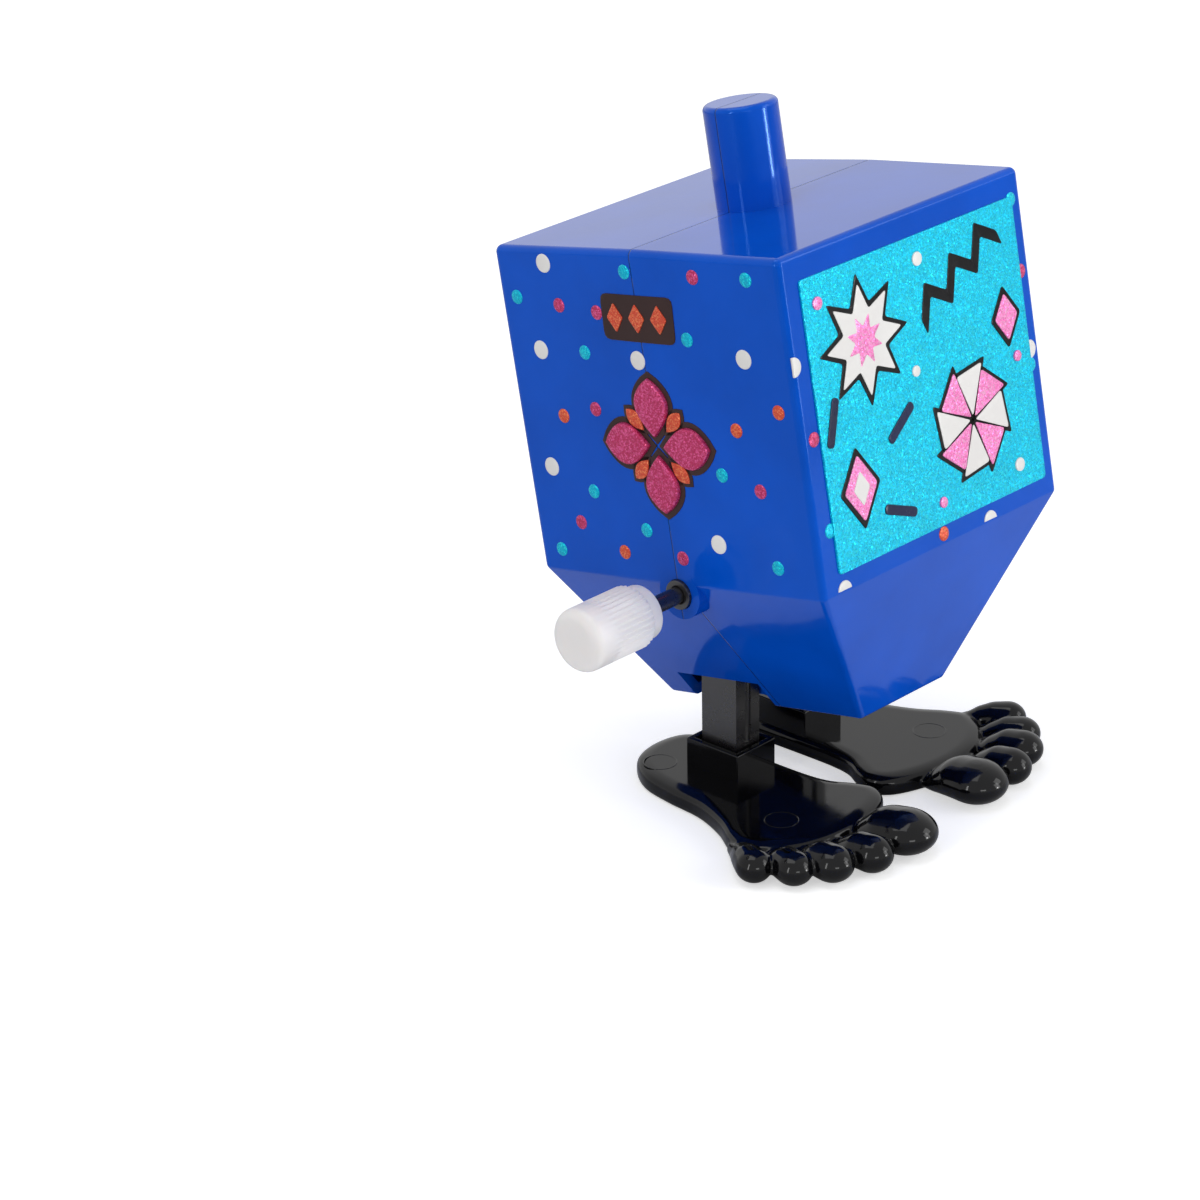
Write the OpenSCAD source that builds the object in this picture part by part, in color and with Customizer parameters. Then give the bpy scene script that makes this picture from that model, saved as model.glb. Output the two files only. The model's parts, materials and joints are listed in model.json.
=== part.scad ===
// Wind-up walking dreidel: a hollow spinning-top body in two shells that
// leans back on two flat feet, driven by a clockwork movement inside.
// Body pieces are drawn about the middle of the top face, with X across the
// front, Y towards the back and Z up, and are then leaned and stood on the floor.

/* [Body] */
// Width across the seam
body_w = 40; // [36:1:46]
// Depth of the front shell
front_d = 20.2; // [19:0.2:23]
// Depth of the back shell
back_d = 20.2; // [19:0.2:23]
// Height of the square part
cube_h = 36.3; // [34:0.1:40]
// Height of the tapered part
taper_h = 18.4; // [17.5:0.1:22]
// Width of the flat lower end
tip_w = 14.1; // [13:0.1:16]
// Depth of the flat lower end in front of the seam
tip_front = 11.5; // [11:0.1:14]
// Depth of the flat lower end behind the seam
tip_back = 16.5; // [16:0.1:18]
// Wall of both shells
wall = 1.2; // [0.9:0.1:1.5]
// Rounding of the outer edges
edge_r = 0.8; // [0.5:0.1:1.2]
// Mould draft of the outer walls, in degrees
draft = 0.77; // [0:0.1:1]
// Backward lean when both feet are flat, in degrees
lean = 10.4; // [8:0.1:12]

/* [Handle] */
// Diameter of the handle on top
stem_d = 8.1; // [6:0.1:12]
// Height of the handle
stem_h = 11.1; // [6:0.1:16]
// Rounding of the handle's rim
stem_edge_r = 0.6; // [0.3:0.1:1.2]
// Wall of the handle
stem_wall = 1.3; // [1:0.1:1.8]

/* [Winding knob] */
// Diameter of the knob over its ribs
knob_d = 7; // [6:0.1:9]
// Length of the knob
knob_len = 10.5; // [8:0.1:14]
// Distance from the seam's middle to the knob's near end
knob_from = 25.8; // [24:0.1:30]
// Depth of the knob's ribs
knob_rib = 0.3; // [0.15:0.05:0.45]
// Ribs round the knob
knob_ribs = 36; // [24:1:44]
// Diameter of the winding shaft
shaft_d = 1.9; // [1.6:0.1:2.2]
// Drop of the winding shaft below the square part
shaft_below = 1.1; // [0.8:0.1:1.6]
// Outside diameter of the bush round the shaft
bush_d = 3.3; // [3:0.1:4]
// Outside diameter of the raised rim round the bush
rim_d = 5.6; // [5:0.1:7]

/* [Legs] */
// Distance of each leg's middle from the body's middle
leg_x = 6.7; // [6.6:0.05:7]
// Width of a leg
leg_w = 3.9; // [3.5:0.1:4]
// Depth of a leg
leg_d = 5; // [4.6:0.1:5.2]
// Thickness of a leg's upper plate
leg_plate_t = 2.6; // [2:0.1:3]
// Throw of the two cranks
throw = 0.8; // [0.5:0.1:1]
// Drop of the crank axle below the winding shaft
crank_below = 7.4; // [7.2:0.1:7.8]
// Distance of the crank axle behind the seam
crank_back = 6.8; // [6.6:0.1:7]
// Height of the crank axle over the floor
crank_over_floor = 20; // [19:0.1:22]
// Height of the guide pin over the crank axle
guide_rise = 5.2; // [5:0.1:5.6]

/* [Feet] */
// Thickness of a foot's plate
sole_t = 2.3; // [2:0.1:3]
// Rounding of the plate's edge
sole_r = 0.7; // [0.4:0.1:0.9]
// Length of a foot from heel to toe tip
foot_len = 39; // [36:0.2:42]
// Width of a foot over the toes
foot_w = 22.5; // [20:0.5:26]
// Least distance between the two feet
foot_gap = 0.7; // [0.5:0.1:1.2]
// Height of the leg socket over the plate
socket_h = 3; // [2.4:0.1:3.2]
// Wall of the leg socket
socket_wall = 0.7; // [0.6:0.1:0.9]
// Free space round the leg in the socket's mouth
socket_gap = 0.55; // [0.3:0.05:0.7]
// Depth of the socket's mouth
socket_depth = 2; // [1.5:0.1:2.2]

/* [Gear train] */
// Tooth module of the two slow stages
slow_mod = 0.4; // [0.38:0.01:0.41]
// Tooth module of the two fast stages
fast_mod = 0.35; // [0.34:0.01:0.36]
// Teeth of the great wheel, the crank wheel and the third wheel
wheel_teeth = 36; // [36:36]
// Teeth of the second wheel
second_teeth = 32; // [32:32]
// Teeth of every pinion
pinion_teeth = 12; // [12:12]
// Teeth of the escape wheel
star_teeth = 12; // [12:12]
// Thickness of the wheels
gear_t = 0.8; // [0.7:0.05:0.8]
// Free space between neighbouring wheels
gear_gap = 0.2; // [0.15:0.05:0.2]
// Thickness of the two frame plates
frame_t = 0.8; // [0.6:0.1:0.9]
// Diameter of the crank axle
axle_d = 2; // [1.8:0.1:2]
// Diameter of the fixed arbors
arbor_d = 1; // [0.8:0.1:1]

/* [Mainspring] */
// Width of the spring strip
spring_w = 1.8; // [1.4:0.1:1.8]
// Thickness of the spring strip
spring_t = 0.2; // [0.15:0.05:0.25]
// Outer radius of the coil
spring_r = 6.2; // [5.5:0.1:6.4]
// Turns of the coil
spring_turns = 7; // [5:1:8]

/* [Hidden] */

$fn = 48;
// Facets of rounded edges that are hulled
edge_fn = 24;
// Facets of the toes
toe_fn = 20;
// Running clearance on a radius
run_c = 0.05;
// Clearance round a piece that is pushed in
push_c = 0.05;
// Clearance between flat pieces that slide past each other
side_c = 0.1;
// How far a cut runs past a face
over = 1;

// Places in the body's side view, as [distance behind the seam, height]
body_h = cube_h + taper_h;
wind_at = [0, -cube_h - shaft_below];
crank_at = wind_at + [crank_back, -crank_below];

// Side view places after the lean
function leaned(p) = [p[0] * cos(lean) + p[1] * sin(lean), p[1] * cos(lean) - p[0] * sin(lean)];
function unleaned(p) = [p[0] * cos(lean) - p[1] * sin(lean), p[1] * cos(lean) + p[0] * sin(lean)];
function polar(r, a) = [r * cos(a), r * sin(a)];
function reach(a, b) = norm(b - a);
function bearing(a, b) = atan2(b[1] - a[1], b[0] - a[0]);

// Centre distances and places of the gear train
function spread(teeth, mod) = (teeth + pinion_teeth) * mod / 2;
wind_to_second = spread(wheel_teeth, slow_mod);
second_to_crank = spread(second_teeth, slow_mod);
fast_spread = spread(wheel_teeth, fast_mod);
wind_to_crank = reach(wind_at, crank_at);
second_turn = acos((pow(wind_to_second, 2) + pow(wind_to_crank, 2) - pow(second_to_crank, 2))
                   / (2 * wind_to_second * wind_to_crank));
second_at = wind_at + polar(wind_to_second, bearing(wind_at, crank_at) + second_turn);
third_angle = 187;
escape_angle = 148;
pallet_angle = 105;
third_at = crank_at + polar(fast_spread, third_angle);
escape_at = third_at + polar(fast_spread, escape_angle);
star_r = 3.4;
star_root_r = 2.3;
star_tip_w = 0.12;
star_root_w = 0.7;
pallet_reach = 5;
pallet_at = escape_at + polar(pallet_reach, pallet_angle);
guide_at = unleaned(leaned(crank_at) + [0, guide_rise]);
// Height of the middle of the top face over the floor
stand_h = crank_over_floor - leaned(crank_at)[1];

// Widths across the movement, outwards from the middle
frame_in = (4 * gear_t + 3 * gear_gap + spring_w + 2 * gear_gap) / 2 + side_c;
frame_out = frame_in + frame_t;
spring_x = -frame_in + side_c;
great_x = spring_x + spring_w + gear_gap;
second_x = great_x + gear_t + gear_gap;
crank_x = second_x + gear_t + gear_gap;
third_x = crank_x + gear_t + gear_gap;
leg_in = leg_x - leg_w / 2;
plate_out = leg_in + leg_plate_t;
disc_t = leg_in - frame_out - 2 * side_c;
disc_x = frame_out + side_c;
disc_r = 2.3;
crank_pin_r = 0.8;
cap_r = 1.5;
cap_t = 0.65;
guide_r = 0.7;
hub_r = 0.85;
eye_wall = 1;
backlash = 0.06;

// Pillars that join the frame plates, as [distance behind the seam, height]
pillar_r = 1.2;
pillar_pin_r = 0.6;
pillar_edge = 2;
top_pillar = wind_at + [-0.6, 1.25] * wind_to_second * 0.78;
back_pillar = second_at + [0, 1] * wind_to_second * 0.93;
low_pillar = third_at + [-1, -0.25] * fast_spread * 1.07;
heel_pillar = crank_at + [1, -0.17] * fast_spread * 0.965;
pillars = [top_pillar, back_pillar, low_pillar, heel_pillar];

// Pegs that join the shells, as shares of the half width and the square part's height
peg_x_share = 0.775;
peg_z_shares = [0.12, 0.85];
peg_r = 1.8;
peg_pin_r = 0.9;
peg_pin_len = 2.6;
peg_wall = 1.3;

// Cradles in the shells that hold the frame plates, each as high as two pillars are wide
cradle_lip = 0.6;
cradle_grip = 1.5;
cradle_h = 4 * pillar_r;

// Leg cut-out at the lower corners of the back shell
notch_front = 0.7;
notch_back = 12.6;
notch_h = 3.5;
leg_room = 0.3;
notch_in = leg_in - leg_room - side_c;

// Leg and foot heights, measured from the crank pin
post_top = -6.1;
seat_z = sole_t * 0.61;

// Foot outline, from the leg's middle as [share of the foot's width outwards, share of its
// length forwards], counter-clockwise from the inner heel, with a smooth curve through the points
outline_shares = [[-0.173, -0.15], [-0.11, -0.235], [0.06, -0.262], [0.24, -0.235], [0.36, -0.15],
                  [0.405, -0.04], [0.43, 0.09], [0.50, 0.20], [0.59, 0.285], [0.625, 0.352],
                  [0.55, 0.43], [0.38, 0.49], [0.20, 0.512], [0.03, 0.508], [-0.13, 0.483],
                  [-0.235, 0.448], [-0.28, 0.395], [-0.245, 0.335], [-0.19, 0.275], [-0.17, 0.19],
                  [-0.168, 0.02]];
inner_reach = leg_x - foot_gap / 2;
outline_steps = 2;
// Toes, as [outwards, forwards, half width] in the same shares, height as a share of the
// foot's length, and the angle in degrees that the toe turns outwards
toe_shares = [[0.022, 0.645, 0.165, 0.120, -4], [0.284, 0.652, 0.108, 0.105, 3],
              [0.48, 0.606, 0.110, 0.103, 9], [0.627, 0.54, 0.098, 0.095, 20],
              [0.729, 0.448, 0.092, 0.094, 30]];
// Stations of a toe from its tip back, as [share of the way, share of the half width across,
// share of it along, share of the height]
toe_stations = [[0, 1, 1, 1], [0.64, 0.88, 0.6, 0.74], [1, 0.72, 0.6, 0.36]];
toe_len_share = 0.15;

// Middle of the assembly's outline on the floor
x_min = -knob_from - knob_len;
x_max = leg_x + max([for (t = toe_shares) t[0] + t[2]]) * foot_w;
y_min = leaned(crank_at)[0] - throw - max([for (t = toe_shares) t[1] * foot_len + t[2] * foot_w]);
y_max = leaned([back_d - edge_r, -edge_r - back_d * tan(draft)])[0] + edge_r;
origin_x = (x_min + x_max) / 2;
origin_y = (y_min + y_max) / 2;

// Stands a piece drawn in the body's own frame on the floor
module in_body() {
    translate([-origin_x, -origin_y, stand_h]) rotate([-lean, 0, 0]) children();
}

// Puts a piece drawn flat at a place in the body's side view, from x on
module across(at, x = 0) {
    translate([x, at[0], at[1]]) rotate([90, 0, 90]) children();
}

// One wall's line, moved in by d: half width at the top, at the shoulder and at the lower end
function side_slope(full, tip) = atan((full - tip) / taper_h);
function shoulder_z(d, slope) = d * tan(slope / 2) - cube_h;
function tip_run(full, tip, d) =
    full - (taper_h - d) * tan(side_slope(full, tip)) - d / cos(side_slope(full, tip));

// Half of the body's form from the seam back, with walls moved in by d less r and edges rounded by r
module half_form(depth, tip_depth, d, r, from = 0) {
    hw = body_w / 2;
    side = side_slope(hw, tip_w / 2);
    face = side_slope(depth, tip_depth);
    thin = depth * tan(draft);
    corners = [[hw - d, depth - d, -d],
               [hw - d, depth - d, shoulder_z(d, max(side, face))],
               [tip_run(hw, tip_w / 2, d), tip_run(depth, tip_depth, d), d - body_h]];
    hull() for (s = [-1, 1]) {
        for (c = corners) translate([s * c[0], from, c[2]])
            rotate([-90, 0, 0]) cylinder(r = r, h = r - from, $fn = edge_fn);
        for (i = [0 : 2]) translate([s * (corners[i][0] - (i < 2 ? thin : 0)), corners[i][1],
                                     corners[i][2] - (i == 0 ? thin : 0)])
            sphere(r = r, $fn = edge_fn);
    }
}

// Handle, whole
module stem_solid(r, h, edge) {
    rotate_extrude() {
        translate([0, -over]) square([r, h - edge + over]);
        square([r - edge, h]);
        translate([r - edge, h - edge]) circle(r = edge);
    }
}

module behind_seam() {
    size = body_w + front_d + back_d + body_h + stem_h;
    intersection() {
        children();
        translate([-size, 0, -size]) cube([2 * size, size, 2 * size]);
    }
}

// Plain hollow shell half, drawn behind the seam
module shell_blank(depth, tip_depth) {
    inner_r = edge_r / 2;
    difference() {
        union() {
            half_form(depth, tip_depth, edge_r, edge_r);
            behind_seam() {
                stem_solid(stem_d / 2, stem_h, stem_edge_r);
                across(wind_at, -body_w / 2) cylinder(d = rim_d, h = wall * 3);
            }
        }
        half_form(depth, tip_depth, wall + inner_r, inner_r, -over);
        translate([0, 0, -wall - over])
            cylinder(r = stem_d / 2 - stem_wall, h = stem_h - stem_wall + wall + over);
        across(wind_at, -body_w / 2 - over) cylinder(r = bush_d / 2 + push_c, h = wall * 3 + 2 * over);
    }
}

module at_pegs(y) {
    for (s = [-1, 1], share = peg_z_shares)
        translate([s * peg_x_share * body_w / 2, y, -share * cube_h]) rotate([-90, 0, 0]) children();
}

// Bars that reach from a shell's wall to the frame plates: they stop the plates' edges and
// lap their outer faces
module cradle(from, low, depth) {
    difference() {
        for (s = [0, 1]) mirror([s, 0, 0]) translate([frame_in, from, low])
            cube([frame_t + side_c + cradle_lip, depth - from, cradle_h]);
        translate([-frame_out - side_c, 0, 0]) children();
    }
}

module shell_front() {
    color("royalblue") in_body() rotate([0, 0, 180]) {
        mirror([1, 0, 0]) shell_blank(front_d, tip_front);
        intersection() {
            half_form(front_d, tip_front, edge_r, edge_r / 2);
            union() {
                at_pegs(0) cylinder(r = peg_r, h = front_d);
                cradle(pillar_edge - pallet_at[0] - cradle_grip, escape_at[1] - cradle_h / 2, front_d)
                    mirror([0, 1, 0]) frame_slot();
            }
        }
        at_pegs(-peg_pin_len) cylinder(r = peg_pin_r, h = peg_pin_len + peg_r);
    }
}

module shell_back() {
    color("royalblue") in_body() difference() {
        union() {
            shell_blank(back_d, tip_back);
            intersection() {
                half_form(back_d, tip_back, edge_r, edge_r / 2);
                union() {
                    at_pegs(0) cylinder(r = peg_pin_r + peg_wall, h = back_d);
                    cradle(pillar_edge + back_pillar[0] - cradle_grip, second_at[1], back_d)
                        frame_slot();
                }
            }
        }
        at_pegs(-over) cylinder(r = peg_pin_r + push_c, h = peg_pin_len + over + peg_wall);
        for (s = [0, 1]) mirror([s, 0, 0]) {
            translate([notch_in, notch_front, -body_h - over])
                cube([body_w, notch_back - notch_front, notch_h + over]);
            translate([notch_in, notch_front, -body_h - over])
                cube([leg_x + leg_w / 2 + leg_room - notch_in, notch_back - notch_front,
                      notch_h + throw * 2 + over]);
        }
    }
}

// Outline of the frame plates in the side view
module frame_outline(grow = 0) {
    hull() for (p = concat(pillars, [pallet_at])) translate(p) circle(r = pillar_edge + grow);
}

module frame_slot() {
    rotate([90, 0, 90]) linear_extrude(2 * (frame_out + side_c)) frame_outline(side_c);
}

// Bores of a frame plate
module frame_bores(x) {
    across(wind_at, x - over) cylinder(r = shaft_d / 2 + run_c, h = frame_t + 2 * over);
    across(crank_at, x - over) cylinder(r = axle_d / 2 + run_c, h = frame_t + 2 * over);
    for (p = [second_at, third_at, escape_at, pallet_at])
        across(p, x - over) cylinder(d = arbor_d, h = frame_t + 2 * over);
}

module frame_plate(x) {
    translate([x, 0, 0]) rotate([90, 0, 90]) linear_extrude(frame_t) frame_outline();
}

module frame_right() {
    color("whitesmoke") in_body() difference() {
        union() {
            frame_plate(-frame_out);
            across(guide_at, -plate_out) cylinder(r = guide_r, h = plate_out - frame_out);
        }
        frame_bores(-frame_out);
        for (p = pillars) across(p, -frame_out - over)
            cylinder(r = pillar_pin_r + push_c, h = frame_t + 2 * over);
    }
}

module frame_left() {
    color("whitesmoke") in_body() {
        difference() {
            union() {
                frame_plate(frame_in);
                across(guide_at, frame_out) cylinder(r = guide_r, h = plate_out - frame_out);
            }
            frame_bores(frame_in);
        }
        for (p = pillars) {
            across(p, -frame_in) cylinder(r = pillar_r, h = 2 * frame_in);
            across(p, -frame_out) cylinder(r = pillar_pin_r, h = 2 * frame_in);
        }
    }
}

module shaft_bush() {
    bush_from = body_w / 2 + push_c * 8;
    color("black") in_body() across(wind_at, -bush_from) difference() {
        cylinder(d = bush_d, h = wall * 3);
        translate([0, 0, -over]) cylinder(r = shaft_d / 2 + run_c, h = wall * 3 + 2 * over);
    }
}

module winding_shaft() {
    shaft_end = knob_from + knob_len * 0.7;
    color("black") in_body() across(wind_at, -shaft_end) cylinder(d = shaft_d, h = shaft_end + frame_out);
}

module winding_knob() {
    end_r = knob_d / 2 - knob_rib / 4;
    round_r = knob_d / 6;
    rim_r = knob_d / 24;
    collar_r = knob_d * 0.43;
    ribs_from = knob_len * 0.3;
    ribs_to = knob_len * 0.84;
    color("white") in_body() across(wind_at, -knob_from - knob_len) difference() {
        union() {
            rotate_extrude() {
                square([end_r - round_r, ribs_from]);
                translate([0, round_r]) square([end_r, ribs_from - round_r]);
                translate([end_r - round_r, round_r]) circle(r = round_r);
                translate([0, ribs_from]) square([collar_r, knob_len - rim_r - ribs_from]);
                square([collar_r - rim_r, knob_len]);
                translate([collar_r - rim_r, knob_len - rim_r]) circle(r = rim_r);
            }
            translate([0, 0, ribs_from - over / 2]) linear_extrude(ribs_to - ribs_from + over / 2)
                polygon([for (i = [0 : 2 * knob_ribs - 1])
                         polar(knob_d / 2 - (i % 2) * knob_rib, i * 180 / knob_ribs)]);
        }
        translate([0, 0, knob_len * 0.3]) cylinder(d = shaft_d, h = knob_len);
    }
}

// Spiral strip from the shaft out, with a straight tail to the top pillar
spring_tail_angle = 60;

module mainspring() {
    steps = 16;
    inner = shaft_d / 2 + run_c + spring_t / 2;
    outer = spring_r - spring_t / 2;
    last = spring_turns * steps;
    start = bearing(wind_at, top_pillar) - spring_tail_angle;
    tail_at = polar(outer, start);
    hook_at = (top_pillar - wind_at) * (1 - (pillar_r + run_c + spring_t / 2) / reach(wind_at, top_pillar));
    function line(i) = polar(inner + (outer - inner) * i / last, start + i * 360 / steps);
    function side(i, s) = polar(norm(line(i)) + s * spring_t / 2, start + i * 360 / steps);
    color("silver") in_body() across(wind_at, spring_x) {
        linear_extrude(spring_w) polygon(concat([for (i = [0 : last]) side(i, -1)],
                                                [for (i = [last : -1 : 0]) side(i, 1)]));
        translate(tail_at) rotate(bearing(tail_at, hook_at)) translate([0, -spring_t / 2])
            cube([reach(tail_at, hook_at), spring_t, spring_w]);
    }
}

// Half angle of a tooth at radius r, with an involute flank above the base circle
pressure_angle = 25;
function roll(a) = tan(a) * 180 / PI - a;
function half_tooth(teeth, mod, r) =
    let (pitch_r = teeth * mod / 2, base_r = pitch_r * cos(pressure_angle))
    90 / teeth - backlash / pitch_r * 90 / PI + roll(pressure_angle) - roll(acos(min(1, base_r / max(r, base_r))));

// Toothed outline with a tooth at angle turn
module gear(teeth, mod, turn) {
    pitch_r = teeth * mod / 2;
    root_r = pitch_r - mod * 1.2;
    radii = [root_r, max(root_r, pitch_r * cos(pressure_angle)) + mod * 0.05, pitch_r, pitch_r + mod * 0.5,
             pitch_r + mod * 0.95];
    last = len(radii) - 1;
    polygon([for (i = [0 : teeth - 1]) let (at = turn + i * 360 / teeth)
             each concat([for (k = [0 : last]) polar(radii[k], at - half_tooth(teeth, mod, radii[k]))],
                         [for (k = [last : -1 : 0]) polar(radii[k], at + half_tooth(teeth, mod, radii[k]))])]);
}

// Turn that puts a gap of a gear at an angle
function gap_turn(teeth, angle) = angle + 180 / teeth;

// Wheel with a rim, a web and a hub
module wheel(teeth, mod, turn, bore_r) {
    difference() {
        linear_extrude(gear_t) gear(teeth, mod, turn);
        translate([0, 0, -over]) cylinder(r = bore_r, h = gear_t + 2 * over);
    }
}

module collar(r, bore_r, h) {
    difference() {
        cylinder(r = r, h = h);
        translate([0, 0, -over]) cylinder(r = bore_r, h = h + 2 * over);
    }
}

recess_r = 4.4;
recess_t = gear_t / 2;
ratchet_r = 2.6;
ratchet_teeth = 12;

module great_wheel() {
    color("white") in_body() across(wind_at, great_x) difference() {
        wheel(wheel_teeth, slow_mod, bearing(wind_at, second_at), shaft_d / 2);
        translate([0, 0, recess_t]) cylinder(r = recess_r, h = gear_t);
    }
}

module ratchet_wheel() {
    color("silver") in_body() across(wind_at, great_x + recess_t) difference() {
        linear_extrude(recess_t) polygon([for (i = [0 : ratchet_teeth - 1])
            each [polar(ratchet_r, i * 360 / ratchet_teeth),
                  polar(ratchet_r * 0.82, (i + 0.1) * 360 / ratchet_teeth)]]);
        translate([0, 0, -over]) cylinder(r = shaft_d / 2, h = gear_t + 2 * over);
    }
}

// Split ring that lies in the great wheel's recess, with a tongue against the ratchet
module click_spring() {
    ring_r = recess_r - push_c;
    ring_t = recess_r * 0.12;
    gap_angle = 30;
    tip = polar(ratchet_r * 0.82 + push_c, 360 / ratchet_teeth * 0.6);
    root = polar(ring_r - ring_t / 2, gap_angle * 1.6);
    color("silver") in_body() across(wind_at, great_x + recess_t) {
        rotate(gap_angle) rotate_extrude(angle = 360 - gap_angle)
            translate([ring_r - ring_t, 0]) square([ring_t, recess_t]);
        difference() {
            translate(root) rotate(bearing(root, tip)) translate([0, -ring_t / 4])
                cube([reach(root, tip), ring_t / 2, recess_t]);
            translate([0, 0, -over]) cylinder(r = ratchet_r + push_c, h = gear_t + 2 * over);
        }
    }
}

module second_wheel() {
    bore = arbor_d / 2 + run_c;
    color("white") in_body() {
        across(second_at, second_x)
            wheel(second_teeth, slow_mod, bearing(second_at, crank_at), bore);
        across(second_at, great_x) difference() {
            linear_extrude(gear_t + gear_gap)
                gear(pinion_teeth, slow_mod, gap_turn(pinion_teeth, bearing(second_at, wind_at)));
            translate([0, 0, -over]) cylinder(r = bore, h = gear_t + 3 * over);
        }
        across(second_at, -frame_in + side_c) collar(hub_r, bore, great_x + frame_in - side_c);
        across(second_at, second_x + gear_t) collar(hub_r, bore, frame_in - side_c - second_x - gear_t);
    }
}

module crank_wheel() {
    color("white") in_body() {
        across(crank_at, second_x) difference() {
            linear_extrude(gear_t + gear_gap)
                gear(pinion_teeth, slow_mod, gap_turn(pinion_teeth, bearing(crank_at, second_at)));
            translate([0, 0, -over]) cylinder(d = axle_d, h = gear_t + 3 * over);
        }
        across(crank_at, crank_x)
            wheel(wheel_teeth, fast_mod, bearing(crank_at, third_at), axle_d / 2);
    }
}

module third_wheel() {
    bore = arbor_d / 2 + run_c;
    color("white") in_body() {
        across(third_at, crank_x) difference() {
            linear_extrude(gear_t + gear_gap)
                gear(pinion_teeth, fast_mod, gap_turn(pinion_teeth, bearing(third_at, crank_at)));
            translate([0, 0, -over]) cylinder(r = bore, h = gear_t + 3 * over);
        }
        across(third_at, third_x)
            wheel(wheel_teeth, fast_mod, bearing(third_at, escape_at), bore);
        across(third_at, -frame_in + side_c) collar(hub_r, bore, crank_x + frame_in - side_c);
    }
}

module escape_wheel() {
    bore = arbor_d / 2 + run_c;
    color("white") in_body() {
        across(escape_at, third_x) difference() {
            linear_extrude(gear_t)
                gear(pinion_teeth, fast_mod, gap_turn(pinion_teeth, bearing(escape_at, third_at)));
            translate([0, 0, -over]) cylinder(r = bore, h = gear_t + 2 * over);
        }
        across(escape_at, second_x + gear_t) collar(hub_r, bore, third_x - second_x - gear_t);
        across(escape_at, second_x) difference() {
            linear_extrude(gear_t) polygon([for (i = [0 : star_teeth - 1])
                let (at = bearing(escape_at, pallet_at) + (i + 0.5) * 360 / star_teeth,
                     root_half = star_root_w / star_root_r * 90 / PI,
                     tip_half = star_tip_w / star_r * 90 / PI)
                each [polar(star_root_r, at - root_half), polar(star_r, at - tip_half),
                      polar(star_r, at + tip_half), polar(star_root_r, at + root_half)]]);
            translate([0, 0, -over]) cylinder(r = bore, h = gear_t + 2 * over);
        }
        across(escape_at, -frame_in + side_c) collar(hub_r, bore, second_x + frame_in - side_c);
    }
}

// Anchor with two thin pins that dip between the escape wheel's teeth in turn
pallet_arm = 3;
pallet_pin_r = 0.2;
pallet_clear = star_r + pallet_pin_r + run_c;
pallet_spread = acos((pow(pallet_arm, 2) + pow(pallet_reach, 2) - pow(pallet_clear, 2))
                     / (2 * pallet_arm * pallet_reach));

module pallet() {
    down = bearing(pallet_at, escape_at);
    bore = arbor_d / 2 + run_c;
    color("white") in_body() {
        across(pallet_at, second_x) difference() {
            linear_extrude(gear_t) {
                circle(r = hub_r);
                for (s = [-1, 1]) rotate(down + s * pallet_spread) {
                    translate([0, -pallet_pin_r]) square([pallet_arm, 2 * pallet_pin_r]);
                    translate([pallet_arm, 0]) circle(r = pallet_pin_r);
                }
                rotate(down + 180) translate([0, -hub_r / 2]) square([pallet_arm * 0.8, hub_r]);
            }
            translate([0, 0, -over]) cylinder(r = bore, h = gear_t + 2 * over);
        }
        across(pallet_at, -frame_in + side_c) collar(hub_r, bore, second_x + frame_in - side_c);
    }
}

module arbor(at) {
    color("silver") in_body() across(at, -frame_out) cylinder(d = arbor_d, h = 2 * frame_out);
}

module second_arbor() {
    arbor(second_at);
}

module third_arbor() {
    arbor(third_at);
}

module escape_arbor() {
    arbor(escape_at);
}

module pallet_arbor() {
    arbor(pallet_at);
}

axle_half = disc_x + disc_t * 0.7;

module crank_axle() {
    color("silver") in_body() across(crank_at, -axle_half) cylinder(d = axle_d, h = 2 * axle_half);
}

// Crank pins lie level with the axle when both feet are flat, the right one in front
pin_len = plate_out + side_c + cap_t * 0.8;

module crank(s) {
    pin = unleaned(leaned(crank_at) - [s * throw, 0]);
    module half() {
        difference() {
            across(crank_at, disc_x) cylinder(r = disc_r, h = disc_t);
            across(crank_at, disc_x - over) cylinder(d = axle_d, h = axle_half - disc_x + over);
        }
        across(pin, disc_x + disc_t) cylinder(r = crank_pin_r, h = pin_len - disc_x - disc_t);
    }
    color("white") in_body() mirror([s > 0 ? 1 : 0, 0, 0]) half();
}

module crank_right() {
    crank(1);
}

module crank_left() {
    crank(-1);
}

module crank_caps() {
    color("white") in_body() for (s = [1, -1]) mirror([s > 0 ? 1 : 0, 0, 0]) {
        pin = unleaned(leaned(crank_at) - [s * throw, 0]);
        difference() {
            across(pin, plate_out + side_c) cylinder(r = cap_r, h = cap_t);
            across(pin, plate_out) cylinder(r = crank_pin_r, h = pin_len - plate_out);
        }
    }
}

// Closed smooth curve through points
function smooth(points) =
    let (n = len(points))
    [for (i = [0 : n - 1], k = [0 : outline_steps - 1])
        let (a = points[(i + n - 1) % n], b = points[i], c = points[(i + 1) % n],
             d = points[(i + 2) % n], u = k / outline_steps)
        (2 * b + (c - a) * u + (2 * a - 5 * b + 4 * c - d) * u * u
         + (3 * b - a - 3 * c + d) * u * u * u) / 2];

// Puts a leg or foot at its crank pin, over the floor: s is 1 on the right and -1 on the left
module on_crank(s) {
    pin = leaned(crank_at) - [s * throw, 0];
    translate([-origin_x, pin[0] - origin_y, 0]) mirror([s > 0 ? 1 : 0, 0, 0]) children();
}

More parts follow.
